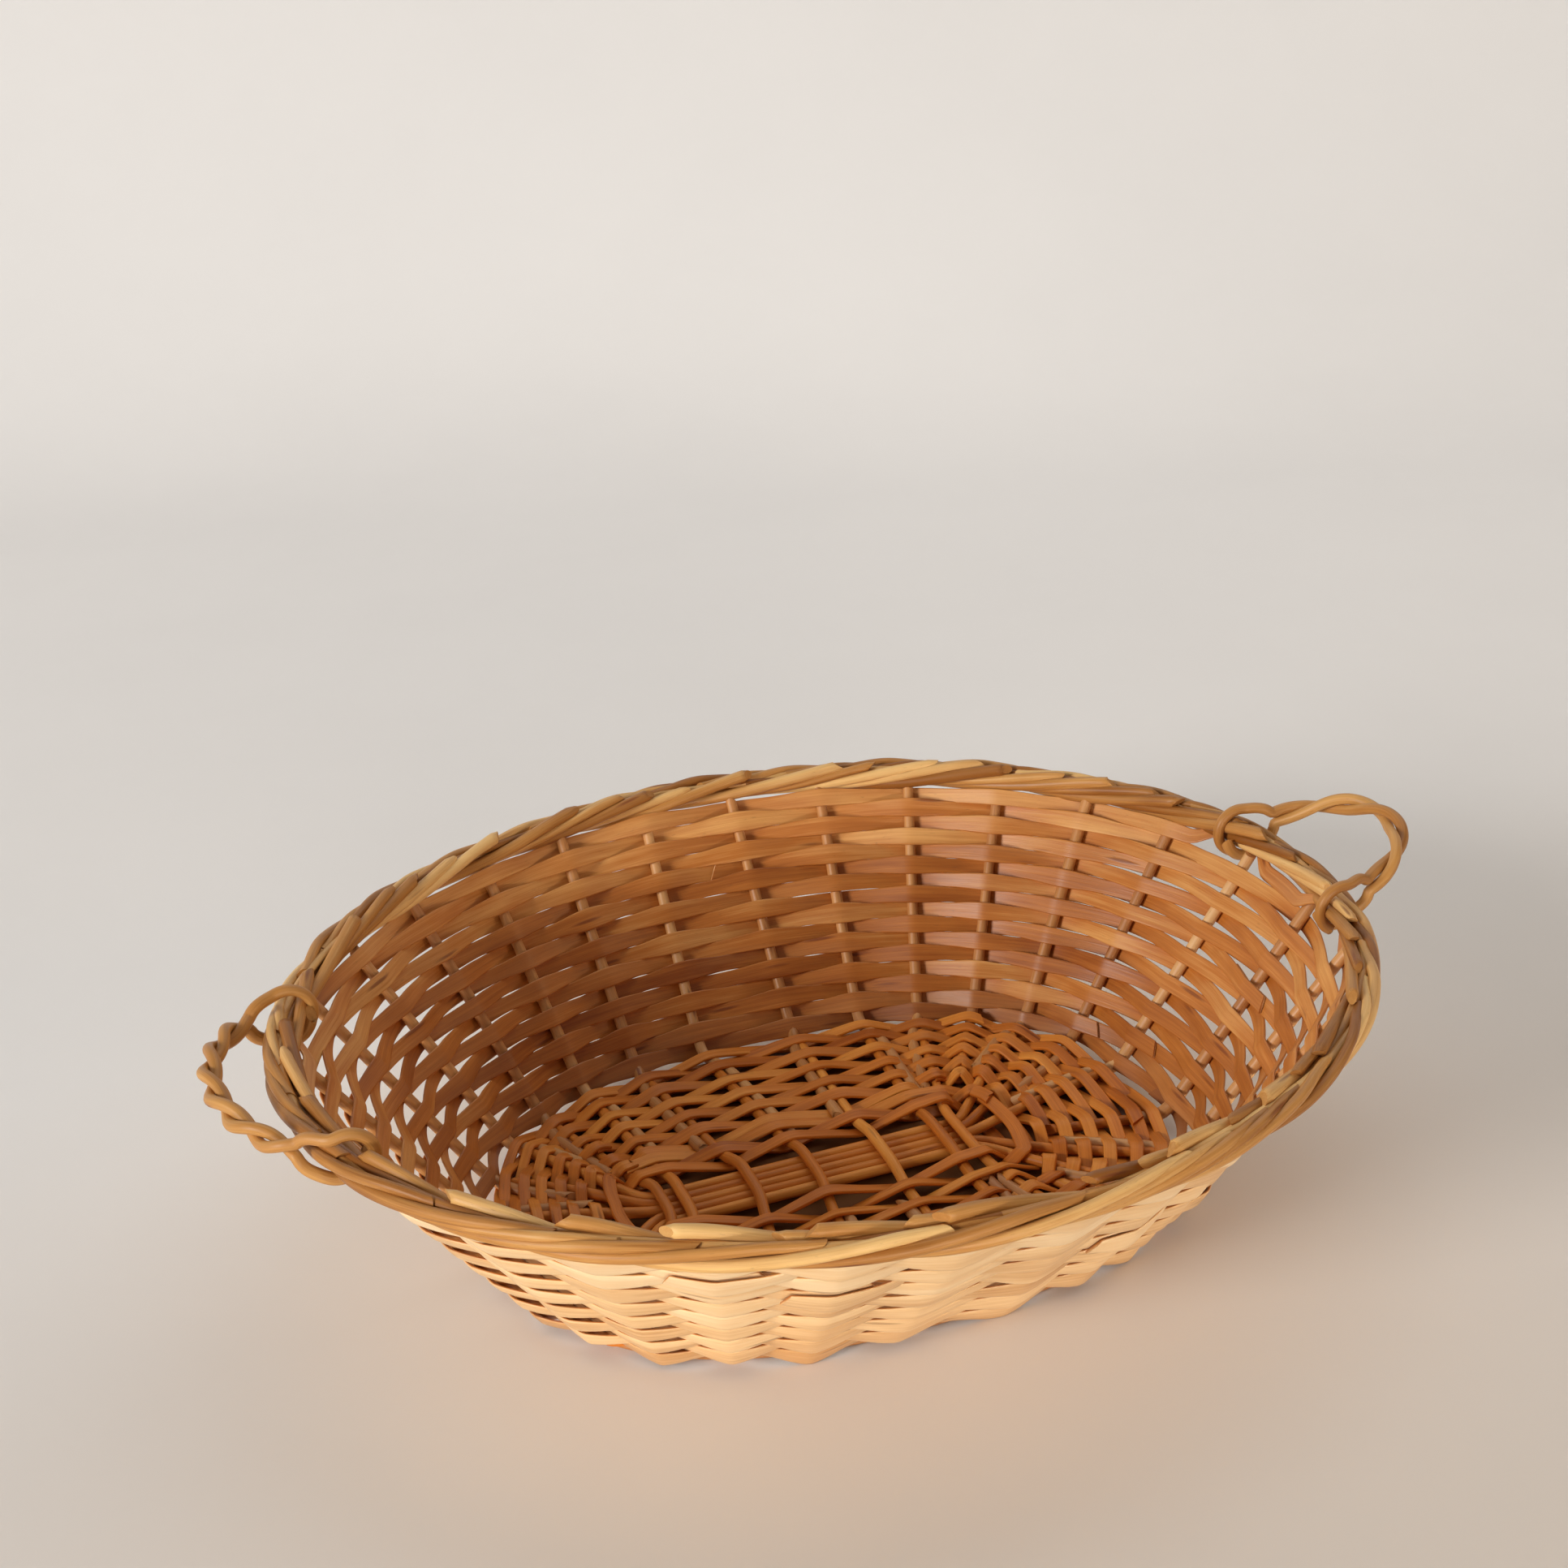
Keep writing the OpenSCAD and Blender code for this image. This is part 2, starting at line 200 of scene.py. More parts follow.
# A family of border rods: how late it starts, its distance from the middle line, thickness and share kept
BORDER_FAMILIES = [(0, 4.6 * MM, 1.0, 1.0), (0.5, 4.2 * MM, 0.86, 0.7)]
BORDER_ROD_D = 4.0 * MM
BORDER_TIP_D = 5.1 * MM
BORDER_CORE_D = 3.4 * MM
BORDER_CORE_R = 1.2 * MM
BORDER_CORE_TURN = 1.3
BORDER_CORE_OVERLAP = 0.2
BORDER_SPAN = 5
BORDER_SAMPLES = 72
BORDER_CORE_SAMPLES = 110
BORDER_SPACING = 40 * MM

# Shares run along a border rod, from its start deep in the border to its tip
BORDER_START_ANGLE = 60
BORDER_WINDING = 305
BORDER_LAST_SHARE = 0.84
BORDER_QUICKENING = 1.3
BORDER_START_DEPTH = 0.35
BORDER_RISE_OVER = 0.13
BORDER_TIP_LIFT = 1.03
BORDER_TIP_FROM = 0.72
BORDER_TIP_OVER = 0.08
BORDER_ANGLE_WANDER = (300 * MM, 0.12)
BORDER_RING_WANDER = (170 * MM, 0.08)

STRAND_D = 4.5 * MM
STRAND_STEP = 1.2 * MM
STRAND_BEND = 1.6 * MM
STRAND_WANDER = (60 * MM, 0.2 * MM)

# A strand's end swings in from the start radius and closes round the border. Angles are in degrees
EYE_R = 9.0 * MM
EYE_START_R = 13.2 * MM
EYE_START_ANGLE = 9
EYE_BLEND_ANGLE = 50
EYE_SAMPLES = 30
OVER_END_ANGLE = 228
UNDER_END_ANGLE = 185
EYE_SIDE_STEP = 2.4 * MM
TWIST_R = 2.2 * MM
TWIST_STEPS = 60

HANDLES = {
    "left": {
        "side": -1,
        "eyes": (45 * MM, -52 * MM),
        "reach": 32 * MM,
        "tilt": 7,
        "lean": 6 * MM,
        "turns": 3,
    },
    "right": {
        "side": 1,
        "eyes": (32 * MM, -38 * MM),
        "reach": 43 * MM,
        "tilt": 20,
        "lean": -1 * MM,
        "turns": 2,
    },
}

# ---- Small helpers ----


def unit(v):
    return v / np.linalg.norm(v, axis=-1, keepdims=True)


def mix(a, b, f):
    return a + (b - a) * f


def smooth(f):
    g = np.clip(f, 0, 1)
    return g * g * (3 - 2 * g)


def oval(angle, a, b, squareness):
    """A point of an oval: an ellipse when squareness is 2, squarer above it."""
    c, s = np.cos(angle), np.sin(angle)
    power = 2 / squareness
    x = a * np.sign(c) * np.abs(c) ** power
    y = b * np.sign(s) * np.abs(s) ** power
    return x, y


def wander(positions, wavelength, amount):
    """A smooth random wobble along a strand."""
    total = np.zeros(len(positions))
    for k in (1, 1.7, 2.9):
        phase = rng.uniform(0, 2 * math.pi)
        total += np.sin(positions * 2 * math.pi * k / wavelength + phase) / k
    return total * amount / 1.6


def path_lengths(points):
    steps = np.linalg.norm(np.diff(points, axis=0), axis=1)
    return np.concatenate([[0], np.cumsum(steps)])


def resample(points, step):
    """The same path as points a fixed step apart."""
    lengths = path_lengths(points)
    count = max(3, int(round(lengths[-1] / step)) + 1)
    at = np.linspace(0, lengths[-1], count)
    return np.stack([np.interp(at, lengths, points[:, k]) for k in range(3)], axis=1)


def rounded(points, step, reach):
    """A path of straight lines with its corners rounded over about the given reach."""
    fine = resample(np.asarray(points, float), step)
    window = max(1, int(reach / step))
    ends = (fine[0] - (fine[1] - fine[0]), fine[-1] + (fine[-1] - fine[-2]))
    before = [fine[0] + (ends[0] - fine[0]) * k for k in range(window, 0, -1)]
    after = [fine[-1] + (ends[1] - fine[-1]) * k for k in range(1, window + 1)]
    padded = np.concatenate([before, fine, after])
    kernel = np.hanning(2 * window + 3)[1:-1]
    kernel /= kernel.sum()
    return np.stack([np.convolve(padded[:, k], kernel, "valid") for k in range(3)], axis=1)


def turned_about(first, second, angle):
    """Two directions square to each other, both turned by an angle from the first towards the second."""
    c, s = np.cos(angle)[:, None], np.sin(angle)[:, None]
    return first * c + second * s, second * c - first * s


# ---- Where the stakes stand, as in the CAD source. Stakes are numbered clockwise from the left end ----


def stake_angle(place):
    place = np.asarray(place, float)
    turned = place - STAKES * np.floor((place + 0.5) / STAKES)
    half = STAKES / 2
    middle = (half - 1) / 2
    back = turned - middle
    front = half + middle - turned
    back_angle = 90 - (STAKE_STEP * back + STAKE_SPREAD * back**3)
    front_angle = -(90 - (STAKE_STEP * front + STAKE_SPREAD * front**3))
    return np.radians(np.where(turned < half - 0.5, back_angle, front_angle))


def foot_point(place):
    x, y = oval(stake_angle(place), FOOT_A, FOOT_B, BASE_SQUARENESS)
    return np.stack([x, y, np.full_like(x, RIB_Z)], axis=-1)


def head_point(place):
    x, y = oval(stake_angle(place), RING_A, RING_B, 2)
    return np.stack([x, y, np.full_like(x, RING_Z)], axis=-1)


def wall_point(place, z):
    share = (np.asarray(z, float) - RIB_Z) / (RING_Z - RIB_Z)
    return mix(foot_point(place), head_point(place), np.reshape(share, (-1, 1)))


def out_of_wall(place, z):
    """The direction out of the wall, square to it."""
    up = unit(head_point(place) - foot_point(place))
    along = unit(wall_point(place + 0.05, z) - wall_point(place - 0.05, z))
    return unit(np.cross(up, along))


def is_cross_rib(foot):
    return foot not in LEFT_PLACES and foot not in RIGHT_PLACES


def rib_start(foot):
    if foot in LEFT_PLACES:
        return np.array([FAN_LEFT_X, (2 - LEFT_PLACES[foot]) * LONG_PITCH, RIB_Z])
    if foot in RIGHT_PLACES:
        return np.array([FAN_RIGHT_X, (2 - RIGHT_PLACES[foot]) * LONG_PITCH, RIB_Z])
    if foot < STAKES / 2:
        return np.array([CROSS_X[foot - FIRST_CROSS_FOOT], BUNDLE_Y, RIB_Z])
    return np.array([CROSS_X[STAKES - 1 - foot - FIRST_CROSS_FOOT], -BUNDLE_Y, RIB_Z])


def rib_point(foot, share):
    """A point of a rib of the base, from the bundle at share 0 to the stake's foot at 1."""
    share = np.asarray(share, float)
    point = mix(rib_start(foot), foot_point(foot), np.reshape(share, share.shape + (1,)))
    if not is_cross_rib(foot):
        point[..., 1] = mix(rib_start(foot)[1], foot_point(foot)[1], np.maximum(share, 0) ** FAN_POWER)
    if is_cross_rib(foot):
        rise = CROSS_RISE * (1 - np.minimum(1, share / CROSS_SLOPE_END))
        point = point + np.stack([rise * 0, rise * 0, rise], axis=-1)
    return point


def rib_direction(foot):
    return unit(foot_point(foot) - rib_start(foot))


# ---- Meshes swept along strands ----


class Strands:
    """The swept strands of one piece. Each vertex keeps its place along and across its own strand."""

    def __init__(self):
        self.points = []
        self.faces = []
        self.grain = []
        self.tone = []
        self.cut = []
        self.skin = []
        self.count = 0

    def add_points(self, points, grain, tone, cut, skin):
        start = self.count
        number = len(points)
        self.points.append(points)
        self.grain.append(grain)
        self.tone.append(np.tile(tone, (number, 1)))
        self.cut.append(np.full(number, float(cut)))
        self.skin.append(np.broadcast_to(skin, (number,)))
        self.count += number
        return start

    def add(self, rings, section, lengths, tone):
        """Rings is one loop of points a sample, section the loop's own flat outline in metres."""
        rings = np.asarray(rings)
        rings[..., 2] = np.maximum(rings[..., 2], FLOOR_GAP)
        count, corners = rings.shape[:2]
        along = np.repeat(lengths[:, None], corners, axis=1)
        across = np.broadcast_to(section, (count, corners, 2))
        grain = np.concatenate([along[..., None], across], axis=2) + tone[3:6] * GRAIN_SHIFT
        skin = (across[..., 1] > 0).astype(float)
        start = self.add_points(rings.reshape(-1, 3), grain.reshape(-1, 3), tone[:3], 0, skin.ravel())
        first = start + np.arange(count - 1)[:, None] * corners
        here = first + np.arange(corners)[None, :]
        turn = first + (np.arange(corners) + 1)[None, :] % corners
        quads = np.stack([here, turn, turn + corners, here + corners], axis=2).reshape(-1, 4)
        self.faces += quads.tolist()
        for ring, flip in ((0, True), (count - 1, False)):
            first = self.add_points(rings[ring], grain[ring], tone[:3], 1, skin[ring])
            loop = list(range(first, first + corners))
            self.faces.append(loop[::-1] if flip else loop)

    def make(self, name, material, body, nodes):
        """The finished object, riding on its body in place of its CAD nodes."""
        mesh = bpy.data.meshes.new(name)
        mesh.from_pydata(np.concatenate(self.points).tolist(), [], self.faces)
        store(mesh, "grain", "FLOAT_VECTOR", "vector", np.concatenate(self.grain))
        store(mesh, "tone", "FLOAT_VECTOR", "vector", np.concatenate(self.tone))
        store(mesh, "cut", "FLOAT", "value", np.concatenate(self.cut))
        store(mesh, "skin", "FLOAT", "value", np.concatenate(self.skin))
        mesh.polygons.foreach_set("use_smooth", [len(f) == 4 for f in self.faces])
        mesh.materials.append(material)
        mesh.update()
        piece = bpy.data.objects.new(name, mesh)
        bpy.context.scene.collection.objects.link(piece)
        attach(piece, body)
        if nodes:
            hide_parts(*nodes)
        return piece


def store(mesh, name, kind, key, values):
    attribute = mesh.attributes.new(name, kind, "POINT")
    attribute.data.foreach_set(key, np.asarray(values, np.float32).ravel())


def new_tone():
    """A strand's own light, warmth and spare values, and where its grain starts."""
    return rng.uniform(0, 1, 6)


def carried_frames(points, start_up):
    """Directions square to a path, carried along it without spin."""
    tangents = unit(np.gradient(points, axis=0))
    normal = np.asarray(start_up, float)
    normals = []
    for tangent in tangents:
        normal = unit(normal - tangent * (normal @ tangent))
        normals.append(normal)
    normals = np.array(normals)
    return tangents, normals, np.cross(tangents, normals)


def add_rod(strands, points, r_start, r_end, sides=12, up=(0, 0, 1), cuts=(0, 0), rough=0.03, blunt=1.0):
    """A slightly uneven round rod along a path, its ends cut at a slope, its tip narrowed by blunt."""
    points = np.asarray(points, float)
    tangents, normals, others = carried_frames(points, up)
    lengths = path_lengths(points)
    angles = 2 * math.pi * np.arange(sides) / sides
    radii = np.linspace(r_start, r_end, len(points)) * (1 + wander(lengths, ROD_THICKNESS_WAVE, rough))
    radii[-1] *= blunt
    flat = 1 + wander(lengths, ROD_FLATNESS_WAVE, rough)
    u = radii[:, None] * np.cos(angles)[None, :] * flat[:, None]
    v = radii[:, None] * np.sin(angles)[None, :] / flat[:, None]
    rings = points[:, None, :] + u[..., None] * normals[:, None, :] + v[..., None] * others[:, None, :]
    turn = rng.uniform(0, 2 * math.pi)
    lean = np.cos(angles - turn)
    rings[0] += tangents[0] * (lean * cuts[0] * r_start)[:, None]
    rings[-1] += tangents[-1] * (lean * cuts[1] * r_end)[:, None]
    strands.add(rings, np.stack([u, v], axis=2), lengths, new_tone())


def closed_section(half):
    """The whole outline from its right half."""
    return np.array(half + [(-x, y) for x, y in half[::-1]])


# Sections in half widths and half thicknesses. A side ribbon is flat inside and crowned outside
HALF_CROWNED = [
    (0.8, -1.0),
    (0.9, -1.0),
    (0.97, -0.75),
    (1.0, -0.25),
    (0.97, 0.3),
    (0.88, 0.64),
    (0.66, 0.86),
    (0.35, 0.97),
]
HALF_FLAT = [(0.8, -1.0), (0.88, -0.97), (0.96, -0.7), (1.0, 0.0), (0.96, 0.7), (0.88, 0.97), (0.8, 1.0)]
RIBBON_SECTION = closed_section(HALF_CROWNED)
WEAVER_SECTION = closed_section(HALF_FLAT)


def add_ribbon(strands, points, axes, sizes, section, cuts, paler=0.0):
    """A split willow along a path. Axes point across and through it, sizes are width and thickness."""
    wide, thick = axes
    width, thickness = [np.broadcast_to(size, (len(points),)) for size in sizes]
    lengths = path_lengths(points)
    u = width[:, None] / 2 * section[None, :, 0]
    v = thickness[:, None] / 2 * section[None, :, 1]
    rings = points[:, None, :] + u[..., None] * wide[:, None, :] + v[..., None] * thick[:, None, :]
    along = unit(np.gradient(points, axis=0))
    rings[0] += along[0] * (u[0] * cuts[0])[:, None]
    rings[-1] += along[-1] * (u[-1] * cuts[1])[:, None]
    tone = new_tone()
    tone[0] += paler
    strands.add(rings, np.stack([u, v], axis=2), lengths, tone)


# ---- Materials ----

# How many times a metre each pattern of the willow repeats, along a strand and across it
STREAKS = (22, 750)
FIBRES = (60, 2600)
PATCHES = (14, 70)
BLUSH = (20, 110)
KNOTS = (28, 260)
FLECKS = (260, 1500)

# How strongly each pattern changes the shade between dark and light, and where those shades lie
STREAK_SHARE = 0.45
FIBRE_SHARE = 0.3
PATCH_SHARE = 1.0
DARK_AT = 0.12
MID_AT = 0.5
LIGHT_AT = 0.9

KNOT_COLOUR = (0.16, 0.03, 0.008)
KNOT_ON_PALE_COLOUR = (0.25, 0.10, 0.035)
FLECK_COLOUR = (0.2, 0.085, 0.03)
PALE_FACE = [(0.58, 0.31, 0.12), (0.82, 0.55, 0.28), (0.90, 0.70, 0.44)]


def node(tree, kind, **inputs):
    made = tree.nodes.new(kind)
    for name, value in inputs.items():
        made.inputs[name.replace("_", " ")].default_value = value
    return made


def stored(tree, name, output="Fac"):
    """A value that the strands keep on their vertices."""
    made = tree.nodes.new("ShaderNodeAttribute")
    made.attribute_name = name
    return made.outputs[output]


def maths(tree, operation, a, b=None, clamp=False):
    made = tree.nodes.new("ShaderNodeMath")
    made.operation = operation
    made.use_clamp = clamp
    for socket, value in zip(made.inputs, (a, b)):
        if value is None:
            continue
        if isinstance(value, (int, float)):
            socket.default_value = value
        else:
            tree.links.new(value, socket)
    return made.outputs[0]


def times(tree, a, b, clamp=False):
    return maths(tree, "MULTIPLY", a, b, clamp)


def plus(tree, a, b, clamp=False):
    return maths(tree, "ADD", a, b, clamp)


def minus(tree, a, b, clamp=False):
    return maths(tree, "SUBTRACT", a, b, clamp)


def swing(tree, value, amount):
    """A pattern that runs about one half, turned into one about zero of the given strength."""
    return times(tree, minus(tree, value, 0.5), amount)


def stretched(tree, vector, repeats):
    """The grain coordinate scaled along and across the strand."""
    along, across = repeats
    scale = tree.nodes.new("ShaderNodeMapping")
    scale.inputs["Scale"].default_value = (along, across, across)
    tree.links.new(vector, scale.inputs["Vector"])
    return scale.outputs[0]


def noise(tree, vector, detail, roughness=0.5):
    made = node(tree, "ShaderNodeTexNoise", Scale=1.0, Detail=detail, Roughness=roughness)
    tree.links.new(vector, made.inputs["Vector"])
    return made.outputs[0]


def ramp(tree, factor, stops):
    made = tree.nodes.new("ShaderNodeValToRGB")
    tree.links.new(factor, made.inputs[0])
    elements = made.color_ramp.elements
    while len(elements) < len(stops):
        elements.new(0.5)
    for element, (position, colour) in zip(elements, stops):
        element.position = position
        element.color = (*colour, 1)
    return made.outputs[0]


def shades(tree, factor, colours):
    """Dark, mid and light willow along one ramp."""
    return ramp(tree, factor, list(zip((DARK_AT, MID_AT, LIGHT_AT), colours)))


def blend(tree, factor, a, b, mode="MIX"):
    made = tree.nodes.new("ShaderNodeMix")
    made.data_type = "RGBA"
    made.blend_type = mode
    for socket, value in ((made.inputs[0], factor), (made.inputs[6], a), (made.inputs[7], b)):
        if isinstance(value, (int, float)):
            socket.default_value = value
        elif isinstance(value, tuple):
            socket.default_value = (*value, 1)
        else:
            tree.links.new(value, socket)
    return made.outputs[2]


def blush_share(tree, at, warmth):
    """Where the willow turns rosy: soft patches, more of them on a warm strand."""
    patches = noise(tree, stretched(tree, at, BLUSH), 2)
    rosy = plus(tree, swing(tree, patches, 2.2), warmth)
    return times(tree, minus(tree, rosy, 0.45, clamp=True), 0.3)


def knot_spots(tree, at):
    """1 in the middle of a knot and 0 between the knots, which are few."""
    knots = tree.nodes.new("ShaderNodeTexVoronoi")
    knots.inputs["Scale"].default_value = 1.0
    tree.links.new(stretched(tree, at, KNOTS), knots.inputs["Vector"])
    spots = times(tree, minus(tree, 0.24, knots.outputs["Distance"]), 8, clamp=True)
    chosen = tree.nodes.new("ShaderNodeSeparateColor")
    tree.links.new(knots.outputs["Color"], chosen.inputs[0])
    return times(tree, spots, maths(tree, "GREATER_THAN", chosen.outputs[0], 0.8))


def fleck_share(tree, at):
    flecks = noise(tree, stretched(tree, at, FLECKS), 2)
    return times(tree, times(tree, minus(tree, flecks, 0.66), 7, clamp=True), 0.4)


def willow_relief(tree, shader, streaks, fibres, spots):
    """Fine ridges along the grain and a dip at each knot."""
    height = plus(tree, times(tree, streaks, 0.6), times(tree, fibres, 0.4))
    height = minus(tree, height, times(tree, spots, 0.5))
    bump = node(tree, "ShaderNodeBump", Strength=0.5, Distance=0.35 * MM)
    tree.links.new(height, bump.inputs["Height"])
    tree.links.new(bump.outputs[0], shader.inputs["Normal"])


def willow_gloss(tree, shader, patches, cut, sheen):
    """Satin, duller on the cut ends."""
    rough = plus(tree, swing(tree, patches, 0.35), times(tree, cut, 0.35))
    tree.links.new(plus(tree, rough, 0.44, clamp=True), shader.inputs["Roughness"])
    shader.inputs["Specular IOR Level"].default_value = sheen
    shader.inputs["Coat Weight"].default_value = sheen * 0.15
    shader.inputs["Coat Roughness"].default_value = 0.3


def willow(name, colours, blush, outside=None, tone_share=0.5, sheen=0.45):
    """Peeled willow in dark, mid and light shades. Outside is the shades of a ribbon's crowned face."""
    material = bpy.data.materials.new(name)
    material.use_nodes = True
    tree = material.node_tree
    shader = tree.nodes["Principled BSDF"]
    at = stored(tree, "grain", "Vector")
    cut = stored(tree, "cut")
    tone = tree.nodes.new("ShaderNodeSeparateXYZ")
    tree.links.new(stored(tree, "tone", "Vector"), tone.inputs[0])

    streaks = noise(tree, stretched(tree, at, STREAKS), 3)
    fibres = noise(tree, stretched(tree, at, FIBRES), 2)
    patches = noise(tree, stretched(tree, at, PATCHES), 3, 0.55)
    total = swing(tree, tone.outputs[0], tone_share)
    total = plus(tree, total, swing(tree, streaks, STREAK_SHARE))
    total = plus(tree, total, swing(tree, fibres, FIBRE_SHARE))
    total = plus(tree, total, swing(tree, patches, PATCH_SHARE))
    total = plus(tree, total, 0.5, clamp=True)

    spots = knot_spots(tree, at)
    colour = shades(tree, total, colours)
    colour = blend(tree, blush_share(tree, at, tone.outputs[1]), colour, blush)
    colour = blend(tree, times(tree, spots, 0.7), colour, KNOT_COLOUR)
    colour = blend(tree, fleck_share(tree, at), colour, FLECK_COLOUR)
    cut_end = mix(np.array(colours[0]), np.array(colours[1]), 0.7)
    colour = blend(tree, times(tree, cut, 0.6), colour, tuple(cut_end.tolist()))
    if outside:
        paler = shades(tree, total, outside)
        paler = blend(tree, times(tree, spots, 0.5), paler, KNOT_ON_PALE_COLOUR)
        colour = blend(tree, stored(tree, "skin"), colour, paler)
    tree.links.new(colour, shader.inputs["Base Color"])
    willow_gloss(tree, shader, patches, cut, sheen)
    willow_relief(tree, shader, streaks, fibres, spots)
    return material


RIBBON_WILLOW = willow(
    "ribbon_willow",
    [(0.29, 0.074, 0.009), (0.52, 0.178, 0.030), (0.78, 0.41, 0.128)],
    (0.62, 0.33, 0.14),
    outside=PALE_FACE,
    tone_share=0.34,
    sheen=0.4,
)
STAKE_WILLOW = willow(
    "stake_willow",
    [(0.36, 0.13, 0.035), (0.58, 0.27, 0.085), (0.76, 0.46, 0.20)],
    (0.64, 0.33, 0.15),
)
WEAVER_WILLOW = willow(
    "weaver_willow",
    [(0.35, 0.082, 0.008), (0.64, 0.196, 0.022), (0.87, 0.37, 0.068)],
    (0.70, 0.29, 0.06),
    tone_share=0.35,
    sheen=0.25,
)
BASE_WILLOW = willow(
    "base_rod_willow",
    [(0.36, 0.088, 0.009), (0.66, 0.212, 0.026), (0.88, 0.39, 0.076)],
    (0.70, 0.30, 0.07),
    tone_share=0.35,
    sheen=0.25,
)
BORDER_WILLOW = willow(
    "border_willow",
    [(0.27, 0.095, 0.016), (0.53, 0.25, 0.066), (0.83, 0.53, 0.21)],
    (0.58, 0.29, 0.09),
    tone_share=0.85,
    sheen=0.28,
)
HANDLE_WILLOW = willow(
    "handle_willow",
    [(0.25, 0.085, 0.015), (0.47, 0.212, 0.05), (0.70, 0.39, 0.125)],
    (0.50, 0.22, 0.07),
    sheen=0.35,
)

# ---- Base ----


def stick_path(points):
    return rounded(points, STICK_STEP, STICK_BEND)


def long_stick_end(foot):
    start = rib_start(foot)
    side = math.copysign(1, start[0])
    fan = [rib_point(foot, share) for share in (STICK_END, *FAN_SHARES)]
    return fan + [start - np.array([side, 0, 0]) * FAN_RUN_IN]


def foot_with(places, value):
    return [foot for foot, place in places.items() if place == value][0]


def make_long_sticks():
    for n in range(1, LONG_STICKS + 1):
        left = long_stick_end(foot_with(LEFT_PLACES, n - 1))
        right = long_stick_end(foot_with(RIGHT_PLACES, n - 1))
        path = stick_path(left + right[::-1])
        path[:, 2] += wander(path_lengths(path), *LONG_STICK_WANDER)
        strands = Strands()
        r = ROD_D / 2 * rng.uniform(0.96, 1.03)
        add_rod(strands, path, r, r * 0.93, cuts=(0.8, 0.8))
        strands.make(f"base_long_rod_{n}", BASE_WILLOW, "basket", [f"base_long_stick_{n}"])


def cross_half(foot):
    return [rib_point(foot, share) for share in (STICK_END, CROSS_SLOPE_END, 0)]


def make_cross_sticks():
    for n in range(1, CROSS_STICKS + 1):
        foot = FIRST_CROSS_FOOT + n - 1
        path = stick_path(cross_half(foot) + cross_half(STAKES - 1 - foot)[::-1])
        path[:, 0] += wander(path_lengths(path), *CROSS_STICK_WANDER)
        strands = Strands()
        r = ROD_D / 2 * rng.uniform(0.97, 1.05)
        add_rod(strands, path, r, r * 0.95, cuts=(0.8, 0.8), up=(1, 0, 0))
        strands.make(f"base_cross_rod_{n}", BASE_WILLOW, "basket", [f"base_cross_stick_{n}"])


def make_corner_sticks():
    strands = Strands()
    for foot in CORNER_FEET:
        path = stick_path([rib_point(foot, share) for share in (*CORNER_SHARES, STICK_END)])
        add_rod(strands, path, ROD_D / 2, ROD_D / 2 * 0.95, cuts=(1.2, 0.8))
    strands.make("base_corner_rods", BASE_WILLOW, "basket", ["base_corner_sticks"])


def row_share(row):
    return min(OUTERMOST_ROW, mix(ROW_FIRST, ROW_LAST, (row - 1) / (BASE_ROWS - 1)))


def row_side(row, foot):
    """1 where a row passes over the rib of a foot, -1 where it passes under."""
    count = CLOSED_GROUPS[foot] if row <= CLOSED_ROWS else foot
    return 1 if (row + count) % 2 == 0 else -1


def base_row_path(row, ribs, first):
    """A row's middle line from its first rib round to past it, the way across it, and the room it has."""
    share = row_share(row)
    wave = WEAVER_WAVE * (WEAVER_FIRST_WAVE if row <= 2 else 1)
    middles = np.array([rib_point(foot, share) for foot in ribs])
    beyond = np.array([rib_point(foot, share + ROW_STEP) for foot in ribs])
    pitches = np.linalg.norm(beyond - middles, axis=1)
    points, wides, room = [], [], []
    for k in range(len(ribs) + 1):
        a, b = (first + k) % len(ribs), (first + k + 1) % len(ribs)
        rib_a, rib_b = rib_direction(ribs[a]), rib_direction(ribs[b])
        gap = np.linalg.norm(middles[b] - middles[a])
        turned = np.linalg.norm(rib_a - rib_b)
        level = min(WEAVER_MOST_LEVEL, WEAVER_LEVEL / gap)
        for j in range(WEAVER_SAMPLES if k < len(ribs) else WEAVER_OVERLAP):
            t = j / WEAVER_SAMPLES
            climb = np.clip((t - level) / (1 - 2 * level), 0, 1)
            wide = unit(mix(rib_a, rib_b, t))
            bulge = WEAVER_BULGE * turned * gap * t * (1 - t)
            height = wave * mix(row_side(row, ribs[a]), row_side(row, ribs[b]), climb)
            points.append(mix(middles[a], middles[b], t) + wide * bulge + np.array([0, 0, height]))
            wides.append(wide)
            room.append(mix(pitches[a], pitches[b], t))
    return np.array(points), np.array(wides), np.array(room)


def weaver_axes(points, wides, lean):
    """A weaver's directions across and through, leaned by an angle."""
    along = unit(np.gradient(points, axis=0))
    thick = unit(np.cross(along, wides))
    thick *= np.sign(thick[:, 2:3])
    return turned_about(np.cross(thick, along), thick, lean)


